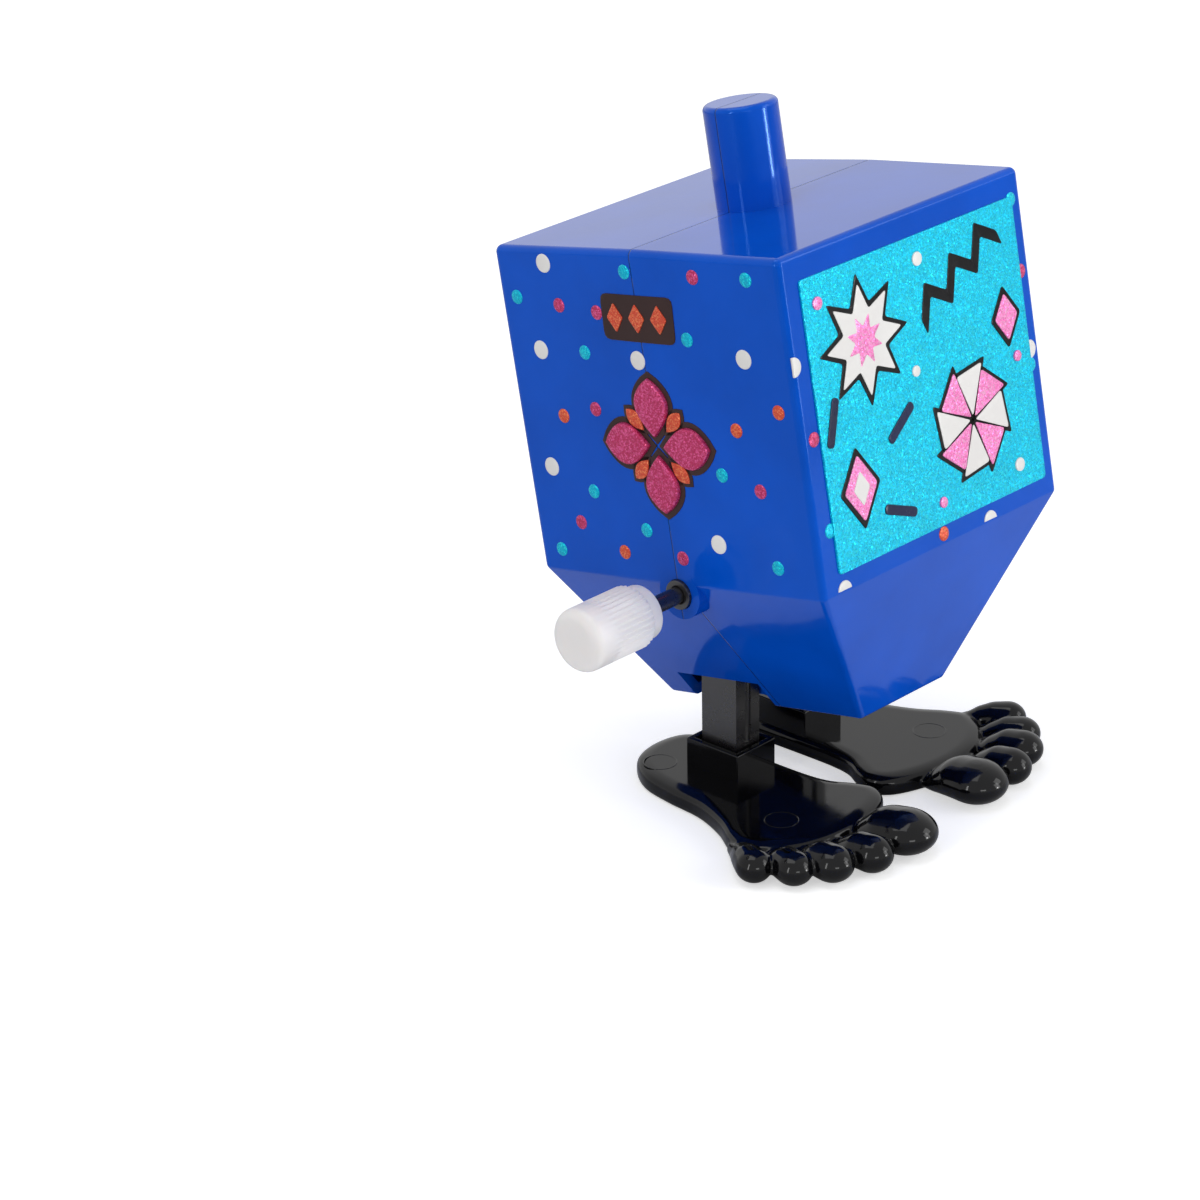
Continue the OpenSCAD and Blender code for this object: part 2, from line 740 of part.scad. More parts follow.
// Leg drawn on the left side, with its crank pin over the origin
module leg_form() {
    slot_r = throw + guide_r + 4 * run_c;
    tip_r = slot_r + eye_wall;
    translate([leg_in, 0, crank_over_floor]) difference() {
        union() {
            translate([0, -leg_d / 2, seat_z - crank_over_floor])
                cube([leg_w, leg_d, crank_over_floor + post_top - seat_z]);
            translate([0, -leg_d / 2, post_top - over])
                cube([leg_plate_t, leg_d, over + guide_rise - post_top]);
            for (at = [[0, 0], [0, guide_rise]]) across(at) cylinder(r = tip_r, h = leg_plate_t);
        }
        across([0, 0], -over) cylinder(r = crank_pin_r + run_c, h = leg_plate_t + 2 * over);
        across([0, guide_rise], -over) cylinder(r = slot_r, h = leg_plate_t + 2 * over);
        // Groove down the front of the leg
        translate([leg_w / 2, -leg_d / 2, sole_t + socket_h - crank_over_floor])
            cylinder(r = leg_w / 8, h = -(sole_t + socket_h - crank_over_floor) + post_top + over);
    }
}

module leg_right() {
    color("black") on_crank(1) leg_form();
}

module leg_left() {
    color("black") on_crank(-1) leg_form();
}

// Foot drawn on the left side, with the leg's middle over the origin
module foot_form() {
    mouth_w = leg_w + 2 * socket_gap;
    mouth_d = leg_d + 2 * socket_gap;
    difference() {
        union() {
            intersection() {
                translate([0, 0, sole_r]) minkowski() {
                    linear_extrude(sole_t - 2 * sole_r) offset(delta = -sole_r)
                        polygon(smooth([for (p = outline_shares)
                                        [max(-inner_reach, p[0] * foot_w), -p[1] * foot_len]]));
                    sphere(r = sole_r, $fn = 12);
                }
                translate([-foot_w, -foot_len, 0]) cube([2 * foot_w, 2 * foot_len, sole_t]);
            }
            intersection() {
                for (t = toe_shares) translate([t[0] * foot_w, -t[1] * foot_len, 0]) toe(t);
                translate([-foot_w, -foot_len, 0]) cube([2 * foot_w, 2 * foot_len, foot_len]);
            }
            translate([-mouth_w / 2 - socket_wall, -mouth_d / 2 - socket_wall, sole_t / 2])
                cube([mouth_w + 2 * socket_wall, mouth_d + 2 * socket_wall, sole_t / 2 + socket_h]);
        }
        translate([-mouth_w / 2, -mouth_d / 2, sole_t + socket_h - socket_depth])
            cube([mouth_w, mouth_d, socket_depth + over]);
        translate([-leg_w / 2 - push_c, -leg_d / 2 - push_c, seat_z])
            cube([leg_w + 2 * push_c, leg_d + 2 * push_c, sole_t + socket_h]);
    }
}

// Toe with a round pad at its tip that runs back into the plate, low enough to leave its edge free
module toe(t) {
    half_w = t[2] * foot_w;
    half_h = t[3] * foot_len / 2;
    hull() for (s = toe_stations) rotate(t[4])
        translate([0, s[0] * toe_len_share * foot_len, half_h * s[3]])
            scale([half_w * s[1], half_w * s[2], half_h * s[3]]) sphere(r = 1, $fn = toe_fn);
}

module foot_right() {
    color("black") on_crank(1) translate([leg_x, 0, 0]) foot_form();
}

module foot_left() {
    color("black") on_crank(-1) translate([leg_x, 0, 0]) foot_form();
}

shell_front();
shell_back();
frame_right();
frame_left();
shaft_bush();
winding_shaft();
winding_knob();
mainspring();
ratchet_wheel();
click_spring();
great_wheel();
second_wheel();
second_arbor();
crank_axle();
crank_wheel();
crank_right();
crank_left();
crank_caps();
third_wheel();
third_arbor();
escape_wheel();
escape_arbor();
pallet();
pallet_arbor();
leg_right();
leg_left();
foot_right();
foot_left();
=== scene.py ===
"""Looks, light and camera for the wind-up walking dreidel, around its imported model."""

import json
import math

import bmesh
import bpy
from mathutils import Euler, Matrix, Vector
from mathutils.bvhtree import BVHTree


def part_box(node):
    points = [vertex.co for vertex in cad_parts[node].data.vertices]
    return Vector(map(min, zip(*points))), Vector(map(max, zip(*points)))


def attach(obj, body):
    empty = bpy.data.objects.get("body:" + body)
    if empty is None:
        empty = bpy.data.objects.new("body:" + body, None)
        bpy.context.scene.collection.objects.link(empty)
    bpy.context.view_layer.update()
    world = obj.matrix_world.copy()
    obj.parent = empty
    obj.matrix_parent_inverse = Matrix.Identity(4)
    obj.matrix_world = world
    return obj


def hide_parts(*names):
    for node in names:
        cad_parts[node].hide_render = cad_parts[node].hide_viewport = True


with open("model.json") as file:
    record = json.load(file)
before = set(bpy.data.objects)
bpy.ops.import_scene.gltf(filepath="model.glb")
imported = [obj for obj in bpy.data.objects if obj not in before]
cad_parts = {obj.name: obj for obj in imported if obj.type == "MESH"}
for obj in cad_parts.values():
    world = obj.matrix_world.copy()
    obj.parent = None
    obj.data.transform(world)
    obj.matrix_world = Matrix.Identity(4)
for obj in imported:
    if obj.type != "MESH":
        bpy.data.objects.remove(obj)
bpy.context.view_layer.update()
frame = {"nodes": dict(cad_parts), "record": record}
nodes = frame["nodes"]
MM = 0.001

# ---------------------------------------------------------------------------
# The body's own frame: middle of the top face, X across the front, Y back, Z up, in mm
LEAN = math.radians(10.4)
BODY_HALF = 20.0    # half the width across the front
BODY_DEPTH = 20.2   # from the seam to the front, and to the back
SHOULDER_Z = -36.3  # where the walls end and the taper begins
WIND_Z = -37.4      # axis of the winding shaft
EDGE_R = 0.8        # radius of the moulding's edges
SIDE_DRAFT = math.radians(0.77)
SIDE_SLOPE = BODY_DEPTH * math.tan(SIDE_DRAFT) / (BODY_DEPTH - 2 * EDGE_R)


def leaned(y, z):
    return y * math.cos(LEAN) + z * math.sin(LEAN), z * math.cos(LEAN) - y * math.sin(LEAN)


def middle(node):
    low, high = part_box(node)
    return (low + high) / (2 * MM)


wind_y, wind_z = leaned(0, WIND_Z)
ORIGIN = Vector((middle("second_arbor").x, middle("winding_shaft").y - wind_y,
                 middle("winding_shaft").z - wind_z))


def body_point(x, y, z):
    """A place in the body's frame, in mm, as a place in the row frame, in metres."""
    y, z = leaned(y, z)
    return (Vector((x, y, z)) + ORIGIN) * MM


def wall_in(y):
    """How far the side walls draw in at a distance from the seam."""
    return SIDE_SLOPE * max(0.0, abs(y) - EDGE_R)


# Each face takes (u across, v up, h out of the face), in mm
FACES = {
    "front": lambda u, v, h: body_point(u, -BODY_DEPTH - h, v),
    "back": lambda u, v, h: body_point(u, BODY_DEPTH + h, v),
    "near": lambda u, v, h: body_point(-BODY_HALF + wall_in(u) - h, u, v),
    "far": lambda u, v, h: body_point(BODY_HALF - wall_in(u) + h, u, v),
}


# ---------------------------------------------------------------------------
# Materials
class Nodes:
    """A small builder of shader nodes in one tree."""

    def __init__(self, tree):
        self.tree = tree
        tree.nodes.clear()

    def node(self, kind, inputs=None, **attributes):
        made = self.tree.nodes.new(kind)
        for key, value in attributes.items():
            setattr(made, key, value)
        for key, value in (inputs or {}).items():
            socket = made.inputs[key]
            if isinstance(value, bpy.types.NodeSocket):
                self.tree.links.new(value, socket)
            else:
                socket.default_value = value
        return made

    def math(self, operation, a, b=0.0):
        return self.node("ShaderNodeMath", {0: a, 1: b}, operation=operation).outputs[0]

    def vector(self, operation, a, b=None, scale=None):
        """A vector operation: its number where it gives one, and otherwise its vector."""
        inputs = {0: a}
        if b is not None:
            inputs[1] = b
        if scale is not None:
            inputs["Scale"] = scale
        made = self.node("ShaderNodeVectorMath", inputs, operation=operation)
        return made.outputs["Value" if operation in ("DOT_PRODUCT", "LENGTH") else "Vector"]

    def spread(self, socket, low, high, start=0.0, end=1.0):
        """The range from start to end laid over low to high."""
        return self.node("ShaderNodeMapRange", {"Value": socket, "From Min": start, "From Max": end,
                                                "To Min": low, "To Max": high}).outputs[0]

    def mix(self, share, a, b):
        return self.node("ShaderNodeMix", {0: share, 6: a, 7: b}, data_type="RGBA").outputs[2]


class Shader(Nodes):
    """A material with one principled shader."""

    def __init__(self, name):
        self.mat = bpy.data.materials.new(name)
        self.mat.use_nodes = True
        super().__init__(self.mat.node_tree)
        self.out = self.node("ShaderNodeOutputMaterial")
        self.bsdf = self.node("ShaderNodeBsdfPrincipled")
        self.tree.links.new(self.bsdf.outputs[0], self.out.inputs[0])
        self.coords = self.node("ShaderNodeTexCoord").outputs["Object"]

    def set(self, **values):
        for name, value in values.items():
            self.bsdf.inputs[name.replace("_", " ")].default_value = value
        return self

    def feed(self, name, socket):
        self.tree.links.new(socket, self.bsdf.inputs[name])

    def fed(self, name):
        return self.bsdf.inputs[name].links[0].from_socket

    def noise(self, scale, detail=2.0, roughness=0.5):
        inputs = {"Vector": self.coords, "Scale": scale, "Detail": detail, "Roughness": roughness}
        return self.node("ShaderNodeTexNoise", inputs).outputs[0]

    def bump(self, height, strength, distance, **under):
        return self.node("ShaderNodeBump", {"Height": height, "Strength": strength,
                                            "Distance": distance, **under}).outputs[0]


def rgba(r, g, b):
    return (r, g, b, 1.0)


WHITE = rgba(1.0, 1.0, 1.0)
SKIN_DEPTH = 0.02 * MM               # grain of moulded plastic
SEAM_DEPTH = 0.08 * MM               # parting line between the shells
SEAM_EDGES = (0.02 * MM, 0.09 * MM)  # the seam's groove and its painted shade fade out between these distances from its middle
FLAKES_PER_M = 6500.0                # cells of the glitter


def moulded(name, dark, light, rough, rough_more, grain, bump):
    """Moulded plastic: faint flow marks in the colour, handling marks in the gloss, a fine skin."""
    s = Shader(name)
    flow = s.spread(s.noise(90.0, 3.0), 0.0, 1.0, 0.3, 0.7)
    s.feed("Base Color", s.mix(flow, rgba(*dark), rgba(*light)))
    marks = s.noise(420.0, 4.0, 0.65)
    s.feed("Roughness", s.spread(marks, rough, rough + rough_more, 0.35, 0.7))
    s.feed("Normal", s.bump(s.noise(grain), bump, SKIN_DEPTH))
    return s


def shell_material():
    """Glossy blue plastic with the fine parting line where the two shells meet: a shallow groove,
    with painted shade darkening the line.
    """
    s = moulded("blue_plastic", (0.0004, 0.070, 0.50), (0.0006, 0.086, 0.60),
                0.05, 0.05, 700.0, 0.06)
    s.set(Specular_Tint=rgba(0.18, 0.45, 1.0), Specular_IOR_Level=0.42)
    across = s.vector("DOT_PRODUCT", s.coords, (0.0, math.cos(LEAN), -math.sin(LEAN)))
    seam_at = (ORIGIN.y * math.cos(LEAN) - ORIGIN.z * math.sin(LEAN)) * MM
    off = s.math("ABSOLUTE", s.math("SUBTRACT", across, seam_at))
    plain = s.spread(off, 0.0, 1.0, *SEAM_EDGES)
    # Painted shade: the base colour is darkened along the parting line, where shade falls in the
    # groove
    s.feed("Base Color", s.mix(plain, rgba(0.0004, 0.014, 0.10), s.fed("Base Color")))
    s.feed("Normal", s.bump(plain, 0.7, SEAM_DEPTH, Normal=s.fed("Normal")))
    return s.mat


def glitter(name, base, light, tint=(1.0, 1.0, 1.0)):
    """Glitter print: flakes a tenth of a millimetre across, each tilted and tinted by itself."""
    s = Shader(name)
    cells = s.node("ShaderNodeTexVoronoi", {"Vector": s.coords, "Scale": FLAKES_PER_M})
    flakes = cells.outputs["Color"]
    parts = s.node("ShaderNodeSeparateColor", {"Color": flakes}).outputs
    darker = [c * 0.82 for c in base]
    patches = s.spread(s.noise(260.0, 3.0), 0.0, 0.5, 0.35, 0.75)
    ground = s.mix(patches, rgba(*base), rgba(*darker))
    bright = s.spread(parts[0], 0.0, 1.0, 0.5, 1.0)
    s.feed("Base Color", s.mix(bright, ground, rgba(*light)))
    s.feed("Roughness", s.spread(parts[1], 0.22, 0.47))
    tilt = s.vector("SCALE", s.vector("SUBTRACT", flakes, (0.5, 0.5, 0.5)), scale=0.42)
    normal = s.node("ShaderNodeNewGeometry").outputs["Normal"]
    s.feed("Normal", s.vector("NORMALIZE", s.vector("ADD", normal, tilt)))
    s.set(Metallic=0.35, Specular_Tint=rgba(*tint), Coat_Weight=0.2, Coat_Roughness=0.07)
    return s.mat


def printed(name, dark, light, rough=0.3, gloss=0.5):
    """Flat paint."""
    return moulded(name, dark, light, rough, 0.12, 2600.0, 0.12).set(Specular_IOR_Level=gloss).mat


def brushed(name):
    """Metal with fine drawn lines along X."""
    s = Shader(name)
    along = s.node("ShaderNodeMapping", {"Vector": s.coords, "Scale": (300.0, 4000.0, 4000.0)})
    lines = s.node("ShaderNodeTexNoise",
                   {"Vector": along.outputs[0], "Scale": 1.0, "Detail": 3.0}).outputs[0]
    s.feed("Base Color", s.mix(lines, rgba(0.42, 0.42, 0.43), rgba(0.62, 0.62, 0.63)))
    s.feed("Roughness", s.spread(lines, 0.22, 0.42))
    s.set(Metallic=1.0)
    return s.mat


MATERIALS = {
    "shell": shell_material(),
    "knob": moulded("white_knob", (0.84, 0.81, 0.80), (0.90, 0.88, 0.87), 0.34, 0.14, 1800.0, 0.12)
    .set(Subsurface_Weight=0.25, Subsurface_Radius=(0.0012, 0.0009, 0.0007),
         Subsurface_Scale=1.0).mat,
    "black_plastic": moulded("black_satin", (0.006, 0.005, 0.006), (0.012, 0.011, 0.012),
                             0.26, 0.06, 1500.0, 0.04).set(Specular_IOR_Level=1.0).mat,
    "foot": moulded("black_gloss", (0.0015, 0.0015, 0.002), (0.003, 0.003, 0.004),
                    0.06, 0.08, 520.0, 0.08).set(Specular_IOR_Level=0.25).mat,
    "movement_plastic": moulded("natural_acetal", (0.66, 0.65, 0.60), (0.76, 0.75, 0.70),
                                0.34, 0.12, 1500.0, 0.12).mat,
    "steel": brushed("drawn_steel"),
    "cyan": glitter("cyan_glitter", (0.0, 0.44, 0.66), (0.02, 0.74, 0.82), (0.1, 0.7, 1.0)),
    "magenta": glitter("magenta_glitter", (0.48, 0.012, 0.10), (0.80, 0.10, 0.32)),
    "orange": glitter("orange_glitter", (0.66, 0.060, 0.02), (0.88, 0.22, 0.08)),
    "pink": glitter("pink_glitter", (0.82, 0.17, 0.47), (0.94, 0.45, 0.70)),
    "white": printed("white_print", (0.74, 0.72, 0.70), (0.84, 0.83, 0.81)),
    "black": printed("black_print", (0.002, 0.002, 0.003), (0.005, 0.005, 0.006), 0.16, 0.2),
    "navy": printed("navy_print", (0.005, 0.009, 0.045), (0.009, 0.016, 0.07), 0.2, 0.25),
    "brown": printed("dark_brown_print", (0.024, 0.008, 0.008), (0.040, 0.014, 0.013), 0.35, 0.3),
}

for entry in frame["record"]["subparts"]:
    held = nodes[entry["node"]]
    held.data.materials.clear()
    held.data.materials.append(MATERIALS[entry["material_slot"]])


# ---------------------------------------------------------------------------
# Carried-over pieces: welded, with softly broken edges and even shading, all by modifiers
SHARP = math.radians(32.0)  # edges that turn more than this stay sharp
WELD = 0.000002             # vertices closer than this, in metres, become one
BEVELS = {"leg_right": 0.14, "leg_left": 0.14, "shaft_bush": 0.12, "winding_shaft": 0.08}


def shading_group():
    """Node group that welds a mesh, shades it smooth and keeps its sharp edges sharp."""
    group = bpy.data.node_groups.new("even_shading", "GeometryNodeTree")
    for way in ("INPUT", "OUTPUT"):
        group.interface.new_socket("Geometry", in_out=way, socket_type="NodeSocketGeometry")
    source, sink, merge, plain, smooth, angle, over, sharp = (
        group.nodes.new(kind) for kind in (
            "NodeGroupInput", "NodeGroupOutput", "GeometryNodeMergeByDistance",
            "GeometryNodeRemoveAttribute", "GeometryNodeSetShadeSmooth",
            "GeometryNodeInputMeshEdgeAngle", "FunctionNodeCompare", "GeometryNodeSetShadeSmooth"))
    merge.inputs["Distance"].default_value = WELD
    plain.inputs["Name"].default_value = "custom_normal"
    smooth.inputs["Shade Smooth"].default_value = True
    over.data_type = "FLOAT"
    over.operation = "GREATER_THAN"
    over.inputs[1].default_value = SHARP
    sharp.domain = "EDGE"
    sharp.inputs["Shade Smooth"].default_value = False
    for a, b in ((source.outputs[0], merge.inputs["Geometry"]),
                 (merge.outputs[0], plain.inputs["Geometry"]),
                 (plain.outputs[0], smooth.inputs["Geometry"]),
                 (smooth.outputs[0], sharp.inputs["Geometry"]),
                 (angle.outputs["Unsigned Angle"], over.inputs[0]),
                 (over.outputs[0], sharp.inputs["Selection"]),
                 (sharp.outputs[0], sink.inputs[0])):
        group.links.new(a, b)
    return group


EVEN = shading_group()


def dress(held, bevel=0.0, segments=2):
    """Broken edges, if a bevel in mm is given, and even shading."""
    if bevel:
        weld = held.modifiers.new("weld", "WELD")
        weld.merge_threshold = WELD
        edge = held.modifiers.new("edge", "BEVEL")
        edge.width = bevel * MM
        edge.segments = segments
        edge.limit_method = "ANGLE"
        edge.angle_limit = SHARP
    held.modifiers.new("shade", "NODES").node_group = EVEN
    even = held.modifiers.new("even", "WEIGHTED_NORMAL")
    even.keep_sharp = True


for name in nodes:
    dress(nodes[name], bevel=BEVELS.get(name, 0.0))


# ---------------------------------------------------------------------------
# Mesh helpers
CORNER_STEPS = 3     # segments in each rounded corner
CORNER_SHARE = 0.45  # most of a side that a rounded corner may take
MITRE_LIMIT = 0.45   # keeps a sharp corner from shooting out when an outline is moved


def add_object(name, data):
    made = bpy.data.objects.new(name, data)
    bpy.context.scene.collection.objects.link(made)
    return made


def mesh_from(name, bm):
    mesh = bpy.data.meshes.new(name)
    bm.to_mesh(mesh)
    bm.free()
    return mesh


def new_piece(name, bm, material, body):
    bmesh.ops.recalc_face_normals(bm, faces=bm.faces)
    mesh = mesh_from(name, bm)
    mesh.materials.append(MATERIALS[material])
    mesh.polygons.foreach_set("use_smooth", [True] * len(mesh.polygons))
    made = add_object(name, mesh)
    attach(made, body)
    return made


def join_rings(bm, rings):
    """Faces between each ring of vertices and the next."""
    for a, b in zip(rings, rings[1:]):
        for i in range(len(a)):
            k = (i + 1) % len(a)
            bm.faces.new((a[i], a[k], b[k], b[i]))


def cap_ends(bm, rings):
    return [bm.faces.new(rings[-1]), bm.faces.new(list(reversed(rings[0])))]


def neighbours(points, i):
    """A corner with the one before it and the one after it."""
    return (Vector(points[k % len(points)]) for k in (i - 1, i, i + 1))


def inset(outline, d):
    """Outline moved in by d along the corners' bisectors."""
    n, moved = len(outline), []
    area = sum(outline[i][0] * outline[(i + 1) % n][1] - outline[(i + 1) % n][0] * outline[i][1]
               for i in range(n))
    turn = 1 if area > 0 else -1
    for i in range(n):
        a, b, c = neighbours(outline, i)
        e, f = (b - a).normalized(), (c - b).normalized()
        side = Vector((-e.y, e.x)) * turn
        normal = Vector((-e.y - f.y, e.x + f.x)) * turn
        if normal.length < 1e-6:
            normal = side.copy()
        normal.normalize()
        moved.append(b + normal * (d / max(MITRE_LIMIT, normal.dot(side))))
    return moved


def rounded(points, r):
    """Corners of an outline replaced by small arcs."""
    made = []
    for i in range(len(points)):
        a, b, c = neighbours(points, i)
        e, f = (a - b), (c - b)
        cut = min(r, e.length * CORNER_SHARE, f.length * CORNER_SHARE)
        p, q = b + e.normalized() * cut, b + f.normalized() * cut
        for k in range(CORNER_STEPS + 1):
            t = k / CORNER_STEPS
            made.append(p * (1 - t) ** 2 + b * 2 * t * (1 - t) + q * t * t)
    return made


def soft(points, r):
    """An outline whose corners are rounded after it is moved in or out."""
    return {"corners": points, "r": r}


def loop_at(outline, d):
    if isinstance(outline, dict):
        return rounded(inset(outline["corners"], d), outline["r"])
    return inset(outline, d) if d else outline


def grown(outline, d):
    if isinstance(outline, dict):
        return soft(inset(outline["corners"], -d), outline["r"])
    return inset(outline, -d)


def plate_on(bm, face, outline, low, high, edge):
    """A raised print or relief: an outline on a face, with a rounded rim, that follows the wall."""
    rings = []
    for d, h in ((0.0, low), (0.0, high - edge), (edge * 0.3, high - edge * 0.3), (edge, high)):
        rings.append([bm.verts.new((p[0], p[1], h)) for p in loop_at(outline, d)])
    join_rings(bm, rings)
    caps = cap_ends(bm, rings)
    for cap in caps:
        cap.normal_update()
    bmesh.ops.triangulate(bm, faces=caps)
    fresh = set(v for ring in rings for v in ring)
    if face in ("near", "far"):
        # The side walls bend along these lines, so the print is cut there
        geom = list(fresh) + [e for e in bm.edges if e.verts[0] in fresh] \
            + [f for f in bm.faces if f.verts[0] in fresh]
        for at in (-EDGE_R, 0.0, EDGE_R):
            cut = bmesh.ops.bisect_plane(bm, geom=geom, plane_co=(at, 0, 0), plane_no=(1, 0, 0))
            geom = list(set(cut["geom"]) | set(cut["geom_cut"]))
            fresh |= set(g for g in geom if isinstance(g, bmesh.types.BMVert))
    for v in fresh:
        v.co = FACES[face](*v.co)


def relief(name, material, face, outlines, low, high, edge):
    """Outlines on a face, from low to high above it and with a rim edge wide, in mm."""
    bm = bmesh.new()
    for outline in outlines:
        plate_on(bm, face, outline, low, high, edge)
    dress(new_piece(name, bm, material, "body"))


def circle(u, v, r, count):
    return [(u + r * math.cos(i * math.tau / count), v + r * math.sin(i * math.tau / count))
            for i in range(count)]


def star(u, v, outer, inner, points, start=90.0):
    return [(u + r * math.cos(a), v + r * math.sin(a))
            for i in range(2 * points)
            for r, a in [((outer, inner)[i % 2], math.radians(start) + i * math.pi / points)]]


def turned(points, u, v, angle):
    c, s = math.cos(math.radians(angle)), math.sin(math.radians(angle))
    return [(u + x * c - y * s, v + x * s + y * c) for x, y in points]


# ---------------------------------------------------------------------------
# Confetti dots: small domes of paint that follow the walls and their edges
DOT_R = {"white": 1.04, "cyan": 0.8, "magenta": 0.8, "orange": 0.8}
DOT_SEGMENTS = 24
# Share of the radius and height over the wall, in mm
DOT_RINGS = ((1.0, -0.03), (0.99, 0.03), (0.93, 0.075), (0.75, 0.11), (0.42, 0.13))
DOT_TOP = 0.135
NEAR_DOTS = {
    "white": [(12.8, -1.9), (15.2, -11.5), (0.9, -11.8), (-13.9, -10.9), (-6.7, -31.3),
              (16.4, -24.6)],
    "cyan": [(17.6, -5.8), (1.0, -2.3), (-15.7, -2.5), (-6.5, -9.2), (8.6, -11.4), (10.5, -26.9),
             (3.4, -30.6), (-14.5, -33.2), (-8.6, -23.6), (16.9, -34.0)],
    "magenta": [(11.4, -6.4), (-8.5, -2.5), (5.9, -6.9), (8.3, -17.6), (-13.6, -25.0),
                (-1.3, -33.3), (13.2, -30.6)],
    "orange": [(13.3, -18.7), (-11.5, -18.6), (-17.6, -16.3), (7.2, -33.4)],
}
FRONT_DOTS = {
    "white": [(17.9, -20.0), (-19.4, -11.5), (-16.4, -36.1), (7.9, -36.1)],
    "cyan": [(17.8, -3.5), (17.8, -21.7), (-17.4, -29.4)],
    "magenta": [(18.0, -11.4), (-17.9, -19.5)],
    "orange": [(0.1, -35.2)],
}
BACK_SUM = -37.6             # the back has the near side's dots, top to bottom
CUT_U, CUT_V = -19.0, -36.0  # the face's edge cuts off the front's dots beyond these
RAY_FROM, RAY_REACH = 3.0, 4.4  # height over the face where the search starts, and its length

shell_trees = [BVHTree.FromPolygons([v.co for v in nodes[name].data.vertices],
                                    [p.vertices for p in nodes[name].data.polygons])
               for name in ("shell_front", "shell_back")]


def seat(place, u, v):
    """Where a print at (u, v) meets the moulding, looking straight at the face, with the normal."""
    start = place(u, v, RAY_FROM)
    way = (place(u, v, 0.0) - start).normalized()
    best = None
    for tree in shell_trees:
        hit, normal, _, reach = tree.ray_cast(start, way, RAY_REACH * MM)
        if hit is not None and (best is None or reach < best[2]):
            best = (hit, -normal if normal.dot(way) > 0 else normal, reach)
    return best


def add_dot(bm, face, u, v, r):
    place = FACES[face]
    rings = []
    for share, h in DOT_RINGS:
        ring = []
        for x, y in circle(u, v, r * share, DOT_SEGMENTS):
            found = seat(place, x, y)
            if found is None:
                return
            ring.append(bm.verts.new(found[0] + found[1] * (h * MM)))
        rings.append(ring)
    join_rings(bm, rings)
    found = seat(place, u, v)
    top = bm.verts.new(found[0] + found[1] * (DOT_TOP * MM))
    for i in range(DOT_SEGMENTS):
        bm.faces.new((rings[-1][i], rings[-1][(i + 1) % DOT_SEGMENTS], top))
    bm.faces.new(list(reversed(rings[0])))


def clipped_dot(bm, face, u, v, r):
    """A dot that the face's edge cuts off."""
    flat = BODY_HALF - EDGE_R * 0.5
    outline = [(max(x, -flat), max(y, SHOULDER_Z + 0.25)) for x, y in circle(u, v, r, 40)]
    kept = [p for i, p in enumerate(outline) if (Vector(p) - Vector(outline[i - 1])).length > 0.01]
    plate_on(bm, face, kept, -0.1, 0.12, 0.07)


for colour, radius in DOT_R.items():
    bm = bmesh.new()
    for u, v in NEAR_DOTS[colour]:
        add_dot(bm, "near", u, v, radius)
        add_dot(bm, "far", -u, v, radius)
        add_dot(bm, "back", u, BACK_SUM - v, radius)
    for u, v in FRONT_DOTS[colour]:
        draw = clipped_dot if v < CUT_V or u < CUT_U else add_dot
        draw(bm, "front", u, v, radius)
    new_piece("dots_" + colour, bm, colour, "body")

# ---------------------------------------------------------------------------
# Front panel with loose geometric shapes
PANEL_LEFT, PANEL_RIGHT, PANEL_LOW, PANEL_TOP = -17.05, 17.8, -34.3, -3.1
PANEL_H = 0.22  # the panel stands this far out of the front
BURIED = -0.1   # its back, and the ornament's, lie this far inside the wall
STAR_AT = (-8.6, -11.6)
GEM_AT = (-12.2, -26.4)
PINWHEEL_AT, PINWHEEL_R = (6.8, -24.6), 6.2
BAR = [(-2.6, -0.55), (2.6, -0.55), (2.6, 0.55), (-2.6, 0.55)]
BARS_AT = ((-4.6, -21.6, 35.0), (-6.4, -30.6, -20.0), (-15.0, -18.6, 70.0))
SPECKS = ((1.2, -5.6, 0.75), (-1.2, -17.0, 0.6), (13.6, -31.6, 0.75),
          (-14.9, -6.0, 0.7), (15.4, -20.0, 0.6), (0.4, -31.8, 0.6))


def zigzag(u, v, angle, teeth, pitch, rise, width):
    tops = [(i * pitch / 2, (rise if i % 2 else 0.0)) for i in range(2 * teeth + 1)]
    line = tops + [(x, y - width) for x, y in reversed(tops)]
    shift = teeth * pitch / 2
    return turned([(x - shift, y) for x, y in line], u, v, angle)


def diamond(u, v, w, h):
    return [(u - w, v), (u, v - h), (u + w, v), (u, v + h)]


def blades_from(start):
    """Every second blade of the pinwheel."""
    r = PINWHEEL_R
    blade = [(0.35, 0.1), (r, 0.1), (r * 0.62, r * 0.62)]
    return [soft(turned(blade, *PINWHEEL_AT, 90.0 * i + start), 0.4) for i in range(4)]


panel = [(PANEL_LEFT, PANEL_LOW), (PANEL_RIGHT, PANEL_LOW), (PANEL_RIGHT, PANEL_TOP),
         (PANEL_LEFT, PANEL_TOP)]
relief("front_panel", "cyan", "front", [soft(panel, 0.5)], BURIED, PANEL_H, 0.1)

